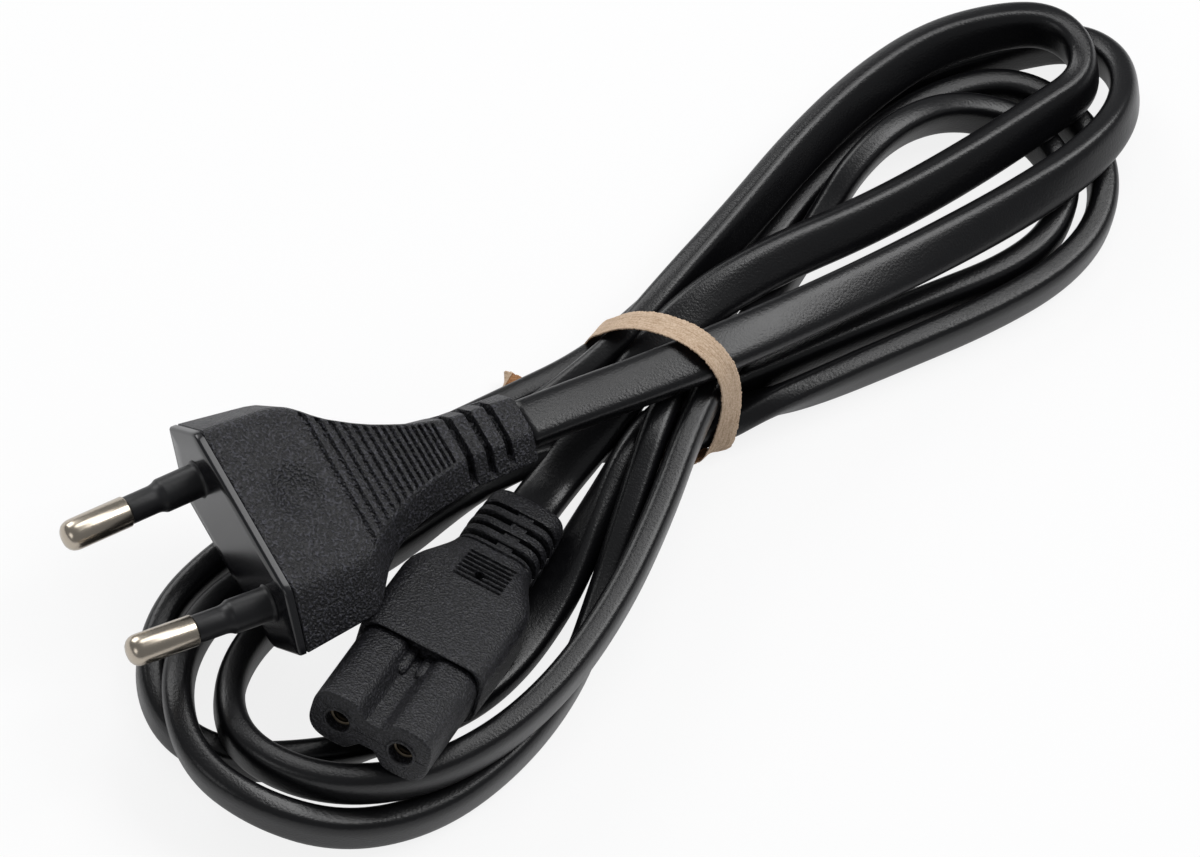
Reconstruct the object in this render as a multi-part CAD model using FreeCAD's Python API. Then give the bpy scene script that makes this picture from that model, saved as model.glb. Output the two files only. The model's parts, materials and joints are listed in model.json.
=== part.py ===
import FreeCAD, Part
import math
import os

# Flat two-core power lead: a two-pin europlug, a figure eight connector and the cord
# between them, wound into a loose hank and held by a paper tie.
# Origin: centre of the connector's mating face, between its two sockets.
# +Z up, +Y level, back along the connector towards its cord. Millimetres.

V = FreeCAD.Vector

# How the lead lies
table_drop = 17.1            # mating face centre above the table
connector_pitch = 16.5       # nose-up lean of the connector, degrees
plug_face_x = -26.95        # centre of the plug's front face
plug_face_y = 14.2
plug_face_z = 1.6
plug_turn = -33.6            # plug axis turned from +Y about +Z, degrees
plug_pitch = 3.0             # nose-up lean of the plug, degrees

# Figure eight connector, its own frame: y runs back from the mating face
socket_pitch = 8.6
socket_radius = 1.45
socket_mouth = 1.9           # radius of the countersunk mouth
socket_mouth_depth = 0.5
lobe_radius = 4.05
lobe_centre = 4.1            # centre of a lobe's round side
lobe_top_inner = 2.6         # its flat top ends here
lobe_ease = 0.9
valley_half_width = 0.95     # floor of the valley between the lobes
waist_half_height = 2.1
valley_fillet = 0.5          # where the floor meets a wall
nose_length = 13.0
key_width = 3.0              # small block at the back of the upper valley
key_length = 3.4
key_top = 3.3
key_slot = 0.9
key_slot_length = 2.6
body_width = 17.2
body_height = 9.8
body_corner = 2.4
body_edge = 0.6              # eased front edge of the overmould
body_straight_end = 26.2
shoulder_ease_length = 1.2   # soft start of the shoulder
shoulder_ease_width = 0.9
shoulder_ease_height = 0.2
neck_ease_length = 1.4       # soft end of the shoulder
neck_ease_width = 0.8
neck_ease_height = 0.4
neck_start = 34.6            # end of the shoulder, start of the strain relief
neck_width = 10.4
neck_height = 7.8
neck_corner = 3.0
connector_length = 45.0
tail_width = 10.2
tail_height = 6.6
tail_corner = 2.8
stem_width = 14.0            # part of the insert held inside the overmould
stem_height = 6.4
stem_corner = 1.5
stem_length = 6.4
panel_width = 6.6            # ribbed grip panel on the shoulder
panel_start = 26.5
panel_end = 31.9
panel_grooves = 7
panel_groove_width = 0.4
panel_groove_depth = 0.3
vent_radius = 0.6            # small moulding hole in the panel
vent_y = 28.3
vent_depth = 1.6
collar_groove_y = 33.9       # thin groove between the panel and the strain relief
collar_groove_width = 0.35
collar_groove_depth = 0.4
relief_grooves = 4
relief_groove_width = 0.95
relief_groove_pitch = 2.13
relief_first_groove = 35.3
relief_web = 0.5             # half height of the web left on each side
relief_link = 2.4            # width of the small bridge in each groove
relief_link_offset = 0.5

# Contacts of the connector
contact_front = 2.5
contact_length = 10.0
contact_radius = 1.75
contact_bore = 1.2
contact_slot = 0.6
contact_slot_length = 8.5
contact_shoulder = 1.0       # closed ring between the sleeve and the crimp
crimp_radius = 1.35
crimp_length = 5.0
fit_clearance = 0.05

# Cores inside the mouldings
core_radius = 1.2
core_pitch = 2.9             # between the two cores inside the sheath
core_lead = 1.5              # straight run behind a crimp
core_gather = 3.0            # the cores run side by side this far before the sheath
plug_core_gather = 6.3

# Plug, its own frame: y runs back from the front face
plug_width = 35.3
plug_height = 13.7
plug_top_width = 23.6        # flat top between the slanted sides
plug_shoulder_y = 10.8
plug_shoulder_width = 31.8
plug_shoulder_top = 22.4
plug_corner_y = 14.2
plug_corner_width = 26.8
plug_corner_top = 19.4
plug_waist_y = 18.8
plug_waist_width = 17.6
plug_waist_top = 13.6
plug_neck_y = 26.0
plug_neck_width = 12.4
plug_neck_top = 7.8
plug_neck_height = 8.4
plug_neck_corner = 3.6
plug_length = 40.3
plug_tail_width = 10.4
plug_tail_height = 6.2
plug_tail_corner = 3.0
plug_flat_end = 4.0          # full thickness up to here
plug_corner_height = 12.4
shoulder_bulge_along = 0.62  # where the rounded shoulder's middle lies, as a share of its length
shoulder_bulge_across = 0.36
relief_overlap = 1.0         # the strain relief starts this far inside the body
relief_inset_width = 0.5
relief_inset_height = 0.1
bridge_plate = 1.2
bridge_width = 25.0
bridge_height = 8.0
bridge_corner = 1.5
bridge_depth = 6.5
dimple_y = 8.2
dimple_radius = 3.8
dimple_mid_radius = 2.7
dimple_floor_radius = 1.3
dimple_mid_depth = 0.5
dimple_depth = 0.8
rib_first = 14.6
rib_pitch = 0.95
rib_count = 15
rib_groove_width = 0.42
rib_groove_depth = 0.4
rib_margin = 0.5             # plain strip left beside the grooves
plug_slots = 3
plug_slot_width = 1.05
plug_slot_pitch = 2.7
plug_first_slot = 31.3
plug_slot_web = 0.6
parting_width = 0.3
parting_depth = 0.12

# Pins
pin_pitch_base = 19.0
pin_pitch_tip = 17.4
pin_length = 19.0
pin_radius = 2.0
pin_metal = 9.0              # bare metal at the tip
pin_shank_radius = 1.5
pin_tip_rings = [(0.9, 0.0), (1.5, 0.28), (1.86, 0.85)]    # domed tip: radius, distance from the end
pin_tip_length = 1.6
sleeve_radius = 1.8
sleeve_thick_radius = 2.2
sleeve_thick_length = 5.2
sleeve_socket = 2.0          # length of sleeve held in the bridge
sleeve_recess = 0.4          # shallow moulded ring round each sleeve
sleeve_recess_depth = 0.3
pin_crimp_radius = 1.8
pin_crimp_length = 4.0

# Cord
cord_width = 6.4
cord_thickness = 4.0
cord_sides = 6               # the loose cord is a six-sided tube, to keep its faces few
sheath_entry = 10.0          # length of sheath moulded into each end
sheath_round = 1.99          # rounding of the flat sheath's edges
relief_wall = 0.5            # wall left round the sheath under the grooves
cord_lead = 6.2              # first and last runs, straight out of each end

# Hand-chosen route of the cord between the two strain reliefs, loop by loop
route_middle = [
    # connector tail, under the tie, long right loop
    (1.9, 57.2, -10.9), (3.2, 66.0, -7.4), (5.1, 75.8, -5.1), (10.3, 87.2, -4.9), (18.5, 100.5, -6.3),
    (25.3, 114.0, -7.2), (30.8, 126.9, -7.4), (34.3, 135.2, -7.4), (31.6, 141.0, -7.4),
    (25.5, 142.6, -7.4), (18.8, 138.4, -7.4), (12.9, 129.8, -7.4), (8.5, 119.1, -7.4),
    (5.7, 106.7, -7.4), (3.9, 92.1, -7.2), (1.4, 78.1, -7.2),
    # back under the plug, outer left loop
    (-0.8, 67.6, -8.6), (-5.7, 57.0, -12.4), (-12.2, 43.4, -13.9), (-20.1, 28.5, -13.9),
    (-25.7, 18.4, -13.7), (-27.9, 8.5, -11.3), (-25.6, -2.3, -8.2), (-18.0, -10.0, -7.4),
    (-8.5, -10.8, -8.8), (1.5, -7.0, -12.8), (10.1, 1.1, -13.9), (14.7, 13.1, -13.9),
    (15.5, 26.5, -13.9), (13.2, 39.0, -12.6), (10.9, 50.4, -9.0), (8.6, 62.5, -6.2),
    # third right loop
    (6.7, 79.0, -12.3), (7.6, 92.8, -13.9), (9.1, 105.3, -13.9), (12.1, 117.2, -13.9),
    (17.0, 127.2, -13.9), (24.2, 133.7, -13.9), (33.1, 133.5, -13.9), (40.4, 128.7, -13.9),
    (43.7, 120.6, -13.9), (42.7, 111.1, -13.9), (37.4, 100.4, -13.9), (30.0, 89.3, -13.9),
    (22.9, 78.1, -13.9), (15.1, 68.3, -14.4),
    # low strand, inner left loop
    (6.7, 62.3, -14.8), (-2.6, 55.2, -14.8), (-8.6, 42.6, -13.9), (-12.8, 30.6, -13.9),
    (-18.5, 20.6, -13.9), (-21.4, 10.3, -12.6), (-19.6, -0.1, -9.2), (-13.5, -6.1, -7.4),
    (-3.5, -5.4, -7.4), (5.8, 0.6, -7.4), (12.1, 10.2, -7.4), (16.0, 21.7, -7.4),
    (17.0, 35.4, -7.4), (15.6, 49.5, -7.0), (13.9, 62.8, -6.2),
    # innermost right loop
    (12.9, 77.4, -7.6), (12.3, 91.6, -12.6), (13.6, 105.5, -13.9), (16.3, 116.3, -13.9),
    (21.9, 124.6, -13.9), (30.2, 126.6, -13.9), (36.7, 122.9, -13.9), (39.1, 115.6, -13.9),
    (36.2, 107.4, -13.9), (29.5, 98.1, -13.9), (21.9, 87.3, -13.9), (14.6, 76.4, -14.0),
    # low near strand, rear left loop
    (8.9, 67.8, -12.9), (7.0, 57.7, -9.7), (7.3, 47.2, -12.0), (8.0, 35.2, -14.7),
    (6.9, 22.2, -14.7), (2.2, 11.2, -13.9), (-5.3, 1.7, -13.9), (-14.2, -4.7, -13.9),
    (-23.3, -5.9, -13.9), (-30.4, -0.9, -13.9), (-33.5, 7.9, -13.9), (-31.6, 18.2, -13.9),
    (-25.9, 31.0, -13.9), (-18.6, 44.1, -13.9), (-11.0, 56.6, -13.9), (-4.3, 67.2, -13.9),
    # outer right loop, over the others and down into the plug
    (-0.5, 78.7, -13.9), (3.0, 91.8, -13.9), (5.5, 106.1, -13.9), (8.5, 119.5, -13.9),
    (14.1, 130.8, -13.9), (21.4, 139.2, -13.9), (28.8, 145.4, -13.6), (36.5, 143.2, -11.5),
    (40.7, 134.9, -8.4), (39.3, 124.3, -7.2), (33.5, 112.3, -7.0), (26.4, 98.5, -6.0),
    (19.4, 85.1, -3.8), (12.8, 72.8, -1.4), (6.1, 62.9, -1.2),
]

# Paper tie round the hank
tie_width = 3.3
tie_thickness = 0.3
tie_centre_x = 5.2
tie_centre_y = 68.6
tie_turn = -12.0
tie_lift = 0.08              # the paper lies this far above the table
tie_right = 12.9
tie_left = -12.6
tie_crown = [(12.7, -7.0), (7.8, 0.4), (2.2, 1.8), (-4.4, -2.6), (-9.8, -8.4)]


def write_node(name, shape):
    shape.exportStep("parts/" + name + ".step")
    print(name, "volume", round(shape.Volume, 1), "solids", len(shape.Solids))


def cylinder(radius, length, start, centre_x=0.0, centre_z=0.0):
    # round bar along +Y
    return Part.makeCylinder(radius, length, V(centre_x, start, centre_z), V(0, 1, 0))


def box(x_size, y_start, y_size, z_low, z_size, centre_x=0.0):
    return Part.makeBox(x_size, y_size, z_size, V(centre_x - x_size / 2, y_start, z_low))


def rounded_section(width, height, corner, y):
    # rounded rectangle across the Y axis
    half_w = width / 2
    half_h = height / 2
    cut = corner * (1 - math.sqrt(0.5))
    edges = []
    for side_x, side_z in ((1, 1), (-1, 1), (-1, -1), (1, -1)):
        on_side = V(side_x * half_w, y, side_z * (half_h - corner))
        on_top = V(side_x * (half_w - corner), y, side_z * half_h)
        middle = V(side_x * (half_w - cut), y, side_z * (half_h - cut))
        if side_x == side_z:
            edges.append((on_side, middle, on_top))
        else:
            edges.append((on_top, middle, on_side))
    pieces = []
    for index, (first, middle, last) in enumerate(edges):
        pieces.append(Part.Arc(first, middle, last).toShape())
        pieces.append(Part.LineSegment(last, edges[(index + 1) % 4][0]).toShape())
    return Part.Wire(pieces)


def lofted_body(sections):
    wires = [rounded_section(width, height, corner, y) for y, width, height, corner in sections]
    return Part.makeLoft(wires, True, True)


def rounded_path(points):
    # straight runs joined by tangent arcs, each as large as its two runs allow
    edges = []
    radii = []
    cursor = points[0]
    for before, point, after in zip(points, points[1:], points[2:]):
        run_in = point - before
        run_out = after - point
        reach = 0.45 * min(run_in.Length, run_out.Length)
        way_in = V(run_in).normalize()
        way_out = V(run_out).normalize()
        half_turn = way_in.getAngle(way_out) / 2
        radius = reach / math.tan(half_turn)
        start = point - way_in * reach
        end = point + way_out * reach
        inward = (way_out - way_in).normalize()
        middle = point + inward * (radius / math.cos(half_turn) - radius)
        edges.append(Part.LineSegment(cursor, start).toShape())
        edges.append(Part.Arc(start, middle, end).toShape())
        radii.append(radius)
        cursor = end
    edges.append(Part.LineSegment(cursor, points[-1]).toShape())
    return Part.Wire(edges), radii


def bent_wire(points, radius):
    # round bar with mitred corners
    spine = Part.makePolygon(points)
    ring = Part.Wire(Part.makeCircle(radius, points[0], points[1] - points[0]))
    return spine.makePipeShell([ring], True, False, 1)


def tube(points, radius, sides):
    # many-sided tube, its corners on the radius, carried along the rounded path
    path, radii = rounded_path(points)
    heading = (points[1] - points[0]).normalize()
    across = heading.cross(V(0, 0, 1)).normalize()
    upward = across.cross(heading)
    corners = []
    for index in range(sides):
        angle = 2 * math.pi * (index + 0.5) / sides
        corners.append(points[0] + across * (radius * math.cos(angle)) + upward * (radius * math.sin(angle)))
    section = Part.Face(Part.makePolygon(corners + [corners[0]]))
    return path.makePipeShell([section.OuterWire], True, False), section.Area, path.Length, radii


def connector_placement():
    return FreeCAD.Placement(V(0, 0, 0), FreeCAD.Rotation(V(1, 0, 0), -connector_pitch))


def plug_placement():
    place = V(plug_face_x, plug_face_y, plug_face_z)
    turn = FreeCAD.Rotation(V(0, 0, 1), plug_turn)
    return FreeCAD.Placement(place, turn.multiply(FreeCAD.Rotation(V(1, 0, 0), -plug_pitch)))


def placed(shape, placement):
    copy = shape.copy()
    copy.Placement = placement.multiply(copy.Placement)
    return copy


def sheath_stub(length):
    # flat oval end of the sheath, moulded into a strain relief that ends at length
    section = (cord_width, cord_thickness, sheath_round)
    return lofted_body([(length - sheath_entry, *section), (length, *section)])


def relief_groove(y, groove_width, length, reach, web, link_x=None):
    # slot round a strain relief: full ring less the wall on the sheath and the side webs
    ring = box(reach, y - groove_width / 2, groove_width, -reach / 2, reach)
    core_width = cord_width + 2 * relief_wall
    core_height = cord_thickness + 2 * relief_wall
    ring = ring.cut(box(core_width, y - groove_width, 2 * groove_width, -core_height / 2, core_height))
    ring = ring.cut(box(reach, y - groove_width, 2 * groove_width, -web, 2 * web))
    if link_x is not None:
        ring = ring.cut(box(relief_link, y - groove_width, 2 * groove_width, -reach / 2, reach, link_x))
    return ring


def core_path(start_x, start_y, end_y, gather_length):
    # one core from its crimp to the sheath
    side = math.copysign(1.0, start_x)
    half_pitch = core_pitch / 2
    gather = end_y - gather_length
    return [
        V(start_x, start_y, 0),
        V(start_x, start_y + core_lead, 0),
        V(side * half_pitch, gather, 0),
        V(side * half_pitch, end_y, 0),
    ]


def connector_contact(centre_x):
    sleeve = cylinder(contact_radius, contact_length, contact_front, centre_x)
    sleeve = sleeve.cut(cylinder(contact_bore, contact_length, contact_front, centre_x))
    sleeve = sleeve.cut(box(contact_slot, contact_front, contact_slot_length, 0, contact_radius * 2, centre_x))
    barrel_start = contact_front + contact_length
    barrel = cylinder(contact_radius, contact_shoulder, barrel_start, centre_x)
    barrel = barrel.fuse(cylinder(crimp_radius, crimp_length, barrel_start + contact_shoulder, centre_x))
    return sleeve.fuse(barrel).removeSplitter()


def nose_block():
    # figure eight: two lobes with round sides and flat tops, joined by a lower web
    corners = [
        (lobe_centre, lobe_radius), (lobe_top_inner, lobe_radius), (valley_half_width, waist_half_height),
        (-valley_half_width, waist_half_height), (-lobe_top_inner, lobe_radius), (-lobe_centre, lobe_radius),
    ]
    upper = [V(x, 0, z) for x, z in corners]
    lower = [V(-point.x, 0, -point.z) for point in upper]
    edges = [Part.LineSegment(first, last).toShape() for first, last in zip(upper, upper[1:])]
    edges.append(Part.Arc(upper[-1], V(-lobe_centre - lobe_radius, 0, 0), lower[0]).toShape())
    edges += [Part.LineSegment(first, last).toShape() for first, last in zip(lower, lower[1:])]
    edges.append(Part.Arc(lower[-1], V(lobe_centre + lobe_radius, 0, 0), upper[0]).toShape())
    nose = Part.Face(Part.Wire(edges)).extrude(V(0, nose_length, 0))
    for x, z, radius in ((lobe_top_inner, lobe_radius, lobe_ease), (valley_half_width, waist_half_height, valley_fillet)):
        long_edges = [
            edge for edge in nose.Edges
            if edge.BoundBox.YLength > nose_length / 2
            and abs(abs(edge.CenterOfMass.x) - x) < 0.01 and abs(abs(edge.CenterOfMass.z) - z) < 0.01
        ]
        nose = nose.makeFillet(radius, long_edges)
    key = box(key_width, nose_length - key_length, key_length, 0, key_top)
    key = key.cut(box(key_slot, nose_length - key_slot_length, key_slot_length, waist_half_height, key_top))
    return nose.fuse(key).removeSplitter()


def connector_insert():
    # nose with its two sockets, and the stem that the overmould holds
    half_pitch = socket_pitch / 2
    nose = nose_block()
    stem_section = (stem_width, stem_height, stem_corner)
    stem = lofted_body([(nose_length, *stem_section), (nose_length + stem_length, *stem_section)])
    envelope = nose.fuse(stem).removeSplitter()
    insert = envelope
    depth = nose_length + stem_length
    for side in (-1, 1):
        x = side * half_pitch
        insert = insert.cut(cylinder(socket_radius, contact_front, 0, x))
        mouth = Part.makeCone(socket_mouth, socket_radius, socket_mouth_depth, V(x, 0, 0), V(0, 1, 0))
        insert = insert.cut(mouth)
        pocket = contact_radius + fit_clearance
        insert = insert.cut(cylinder(pocket, depth - contact_front, contact_front, x))
    return insert, envelope


def connector_overmould(insert_envelope, inner_pieces):
    mid_y = (body_straight_end + neck_start) / 2
    body = lofted_body([
        (nose_length, body_width - 2 * body_edge, body_height - 2 * body_edge, body_corner - body_edge),
        (nose_length + body_edge, body_width, body_height, body_corner),
        (body_straight_end, body_width, body_height, body_corner),
        (body_straight_end + shoulder_ease_length, body_width - shoulder_ease_width,
         body_height - shoulder_ease_height, body_corner),
        (mid_y, (body_width + neck_width) / 2, (body_height + neck_height) / 2, body_corner),
        (neck_start - neck_ease_length, neck_width + neck_ease_width, neck_height + neck_ease_height,
         neck_corner),
        (neck_start, neck_width, neck_height, neck_corner),
        (connector_length - body_edge, tail_width, tail_height, tail_corner),
        (connector_length, tail_width - 2 * body_edge, tail_height - 2 * body_edge, tail_corner - body_edge),
    ])
    for index in range(relief_grooves):
        y = relief_first_groove + index * relief_groove_pitch
        groove = relief_groove(y, relief_groove_width, connector_length, body_width, relief_web, relief_link_offset)
        body = body.cut(groove)
    body = body.cut(insert_envelope)
    for piece in inner_pieces:
        body = body.cut(piece)
    return body


def shoulder_top(y):
    # height of the connector's top surface over the shoulder
    mid_y = (body_straight_end + neck_start) / 2
    stations = [
        (body_straight_end, body_height),
        (body_straight_end + shoulder_ease_length, body_height - shoulder_ease_height),
        (mid_y, (body_height + neck_height) / 2),
        (neck_start - neck_ease_length, neck_height + neck_ease_height),
        (neck_start, neck_height),
    ]
    for (y0, h0), (y1, h1) in zip(stations, stations[1:]):
        if y <= y1:
            return (h0 + (h1 - h0) * (y - y0) / (y1 - y0)) / 2
    return neck_height / 2


def grip_panel(body):
    # fine cross grooves on the shoulder and one behind them, top and bottom, and the small moulding hole
    pitch = (panel_end - panel_start) / (panel_grooves - 1)
    for index in range(panel_grooves):
        y = panel_start + index * pitch
        floor = shoulder_top(y) - panel_groove_depth
        for low in (floor, -floor - body_height):
            cutter = box(panel_width, y - panel_groove_width / 2, panel_groove_width, low, body_height)
            body = body.cut(cutter)
    floor = shoulder_top(collar_groove_y) - collar_groove_depth
    for low in (floor, -floor - body_height):
        start = collar_groove_y - collar_groove_width / 2
        body = body.cut(box(body_width, start, collar_groove_width, low, body_height))
    vent_floor = shoulder_top(vent_y) - vent_depth
    vent = Part.makeCylinder(vent_radius, body_height, V(0, vent_y, vent_floor), V(0, 0, 1))
    return body.cut(vent)


def plug_outline(widths, z):
    # plan outline of the plug at height z: front edge, side, rounded shoulder, hollow flank, neck
    front, shoulder, corner, waist, neck = [width / 2 for width in widths]
    corner_mid_y = plug_shoulder_y + shoulder_bulge_along * (plug_corner_y - plug_shoulder_y)
    corner_mid = shoulder - shoulder_bulge_across * (shoulder - corner)
    right = [
        Part.LineSegment(V(front, bridge_plate, z), V(shoulder, plug_shoulder_y, z)).toShape(),
        Part.Arc(
            V(shoulder, plug_shoulder_y, z), V(corner_mid, corner_mid_y, z), V(corner, plug_corner_y, z)
        ).toShape(),
        Part.Arc(V(corner, plug_corner_y, z), V(waist, plug_waist_y, z), V(neck, plug_neck_y, z)).toShape(),
    ]
    back = Part.LineSegment(V(neck, plug_neck_y, z), V(-neck, plug_neck_y, z)).toShape()
    left = [edge.mirror(V(0, 0, 0), V(1, 0, 0)) for edge in reversed(right)]
    base = Part.LineSegment(V(-front, bridge_plate, z), V(front, bridge_plate, z)).toShape()
    return Part.Wire(right + [back] + left + [base])


def flank_x(y):
    # half width of the plug's flat top beside its hollow flank, and on the strain relief
    if y >= plug_neck_y:
        return plug_neck_top / 2
    arc = Part.Arc(
        V(plug_corner_top / 2, plug_corner_y, 0), V(plug_waist_top / 2, plug_waist_y, 0),
        V(plug_neck_top / 2, plug_neck_y, 0),
    ).toShape().Curve
    return arc.Center.x - math.sqrt(arc.Radius ** 2 - (y - arc.Center.y) ** 2)


def plug_side_profile():
    # thickness of the plug along its length, as one slab wider than the plug
    half_front = plug_height / 2
    half_corner = plug_corner_height / 2
    half_neck = plug_neck_height / 2
    top = [
        V(0, 0, half_front),
        V(0, plug_flat_end, half_front),
        V(0, plug_corner_y, half_corner),
        V(0, plug_neck_y, half_neck),
    ]
    bottom = [V(0, point.y, -point.z) for point in reversed(top)]
    face = Part.Face(Part.makePolygon(top + bottom + [top[0]]))
    slab = face.extrude(V(2 * plug_width, 0, 0))
    slab.translate(V(-plug_width, 0, 0))
    return slab


def plug_top(y):
    # half thickness of the plug at y
    stations = [
        (plug_flat_end, plug_height),
        (plug_corner_y, plug_corner_height),
        (plug_neck_y, plug_neck_height),
        (plug_length, plug_tail_height),
    ]
    if y <= plug_flat_end:
        return plug_height / 2
    for (y0, h0), (y1, h1) in zip(stations, stations[1:]):
        if y <= y1:
            return (h0 + (h1 - h0) * (y - y0) / (y1 - y0)) / 2
    return plug_tail_height / 2


def plug_bridge_plate():
    # pointed six-sided front plate with the inner block that carries the pins
    half_w = plug_width / 2
    half_top = plug_top_width / 2
    half_h = plug_height / 2
    outline = [
        V(half_w, 0, 0), V(half_top, 0, half_h), V(-half_top, 0, half_h),
        V(-half_w, 0, 0), V(-half_top, 0, -half_h), V(half_top, 0, -half_h), V(half_w, 0, 0),
    ]
    plate = Part.Face(Part.makePolygon(outline)).extrude(V(0, bridge_plate, 0))
    section = (bridge_width, bridge_height, bridge_corner)
    block = lofted_body([(bridge_plate, *section), (bridge_depth, *section)])
    parting = box(plug_width, 0, parting_depth, -parting_width / 2, parting_width)
    return plate.fuse(block).removeSplitter().cut(parting)


def plug_pin():
    # pin along -Y from the bridge, tip domed by cones, crimp barrel at the back
    metal_end = pin_metal - pin_length
    crimp_end = bridge_depth + pin_crimp_length
    outline = [V(0, -pin_length, 0)]
    outline += [V(radius, distance - pin_length, 0) for radius, distance in pin_tip_rings]
    outline += [
        V(pin_radius, pin_tip_length - pin_length, 0), V(pin_radius, metal_end, 0),
        V(pin_shank_radius, metal_end, 0), V(pin_shank_radius, bridge_depth, 0),
        V(pin_crimp_radius, bridge_depth, 0), V(pin_crimp_radius, crimp_end, 0), V(0, crimp_end, 0),
    ]
    face = Part.Face(Part.makePolygon(outline + [outline[0]]))
    return face.revolve(V(0, 0, 0), V(0, 1, 0), 360)


def pin_sleeve():
    # black insulating sleeve: thick against the plug, thinner towards the metal
    metal_end = pin_metal - pin_length
    sleeve = cylinder(sleeve_radius, sleeve_socket - metal_end, metal_end)
    sleeve = sleeve.fuse(cylinder(sleeve_thick_radius, sleeve_thick_length + sleeve_socket, -sleeve_thick_length))
    return sleeve.cut(cylinder(pin_shank_radius, sleeve_socket - metal_end, metal_end)).removeSplitter()


def pin_placement(side):
    # the two pins lean towards each other
    lean = math.degrees(math.atan((pin_pitch_base - pin_pitch_tip) / 2 / pin_length))
    place = V(side * pin_pitch_base / 2, 0, 0)
    return FreeCAD.Placement(place, FreeCAD.Rotation(V(0, 0, 1), -side * lean))


def plug_overmould(bridge, inner_pieces):
    parting = plug_outline(
        (plug_width, plug_shoulder_width, plug_corner_width, plug_waist_width, plug_neck_width), 0
    )
    top_widths = (plug_top_width, plug_shoulder_top, plug_corner_top, plug_waist_top, plug_neck_top)
    upper = Part.makeLoft([parting, plug_outline(top_widths, plug_height / 2)], True, True)
    lower = Part.makeLoft([parting, plug_outline(top_widths, -plug_height / 2)], True, True)
    body = upper.fuse(lower).common(plug_side_profile())
    for side in (-1, 1):
        surface = V(0, dimple_y, side * plug_top(dimple_y))
        inward = V(0, 0, -side)
        rim = Part.makeCone(dimple_radius, dimple_mid_radius, dimple_mid_depth, surface, inward)
        floor_depth = dimple_depth - dimple_mid_depth
        floor_start = surface + inward * dimple_mid_depth
        floor = Part.makeCone(dimple_mid_radius, dimple_floor_radius, floor_depth, floor_start, inward)
        body = body.cut(rim.fuse(floor))
    relief = lofted_body([
        (plug_neck_y - relief_overlap, plug_neck_width - relief_inset_width,
         plug_neck_height - relief_inset_height, plug_neck_corner),
        (plug_length - body_edge, plug_tail_width, plug_tail_height, plug_tail_corner),
        (plug_length, plug_tail_width - 2 * body_edge, plug_tail_height - 2 * body_edge,
         plug_tail_corner - body_edge),
    ])
    for index in range(plug_slots):
        y = plug_first_slot + index * plug_slot_pitch
        relief = relief.cut(relief_groove(y, plug_slot_width, plug_length, plug_width, plug_slot_web))
    body = body.fuse(relief)
    for index in range(rib_count):
        y = rib_first + index * rib_pitch
        groove = 2 * (flank_x(y) - rib_margin)
        floor = plug_top(y) - rib_groove_depth
        for low in (floor, -floor - plug_height):
            body = body.cut(box(groove, y - rib_groove_width / 2, rib_groove_width, low, plug_height))
    body = body.cut(bridge)
    for piece in inner_pieces:
        body = body.cut(piece)
    return body


def paper_tie():
    # closed band round the hank: rounded loop across +Y, its outside one paper thickness out
    bottom = tie_thickness + tie_lift - table_drop
    crown = [V(x, 0, z) for x, z in tie_crown]
    base = V(0, 0, bottom)
    corners = [base, V(tie_right, 0, bottom)] + crown + [V(tie_left, 0, bottom), base]
    inside = rounded_path(corners)[0]
    outside = inside.makeOffset2D(tie_thickness)
    ring = Part.Face(outside).cut(Part.Face(inside)).Faces[0]
    band = ring.extrude(V(0, tie_width, 0))
    band.translate(V(0, -tie_width / 2, 0))
    turn = FreeCAD.Rotation(V(0, 0, 1), tie_turn)
    return placed(band, FreeCAD.Placement(V(tie_centre_x, tie_centre_y, 0), turn))


def cord_route():
    at_connector = connector_placement()
    at_plug = plug_placement()
    start = at_connector.multVec(V(0, connector_length, 0))
    start_lead = at_connector.multVec(V(0, connector_length + cord_lead, 0))
    end = at_plug.multVec(V(0, plug_length, 0))
    end_lead = at_plug.multVec(V(0, plug_length + cord_lead, 0))
    return [start, start_lead] + [V(*point) for point in route_middle] + [end_lead, end]


def cord_sheath():
    points = cord_route()
    run, section, length, radii = tube(points, cord_thickness / 2, cord_sides)
    print("cord length", round(length, 1), "with both moulded ends", round(length + 2 * sheath_entry, 1))
    print("tube volume", round(run.Volume, 1), "section times length", round(section * length, 1))
    print("smallest arcs", [round(radius, 1) for radius in sorted(radii)[:8]])
    connector_end = placed(sheath_stub(connector_length), connector_placement())
    plug_end = placed(sheath_stub(plug_length), plug_placement())
    return run.fuse([connector_end, plug_end])


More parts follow.
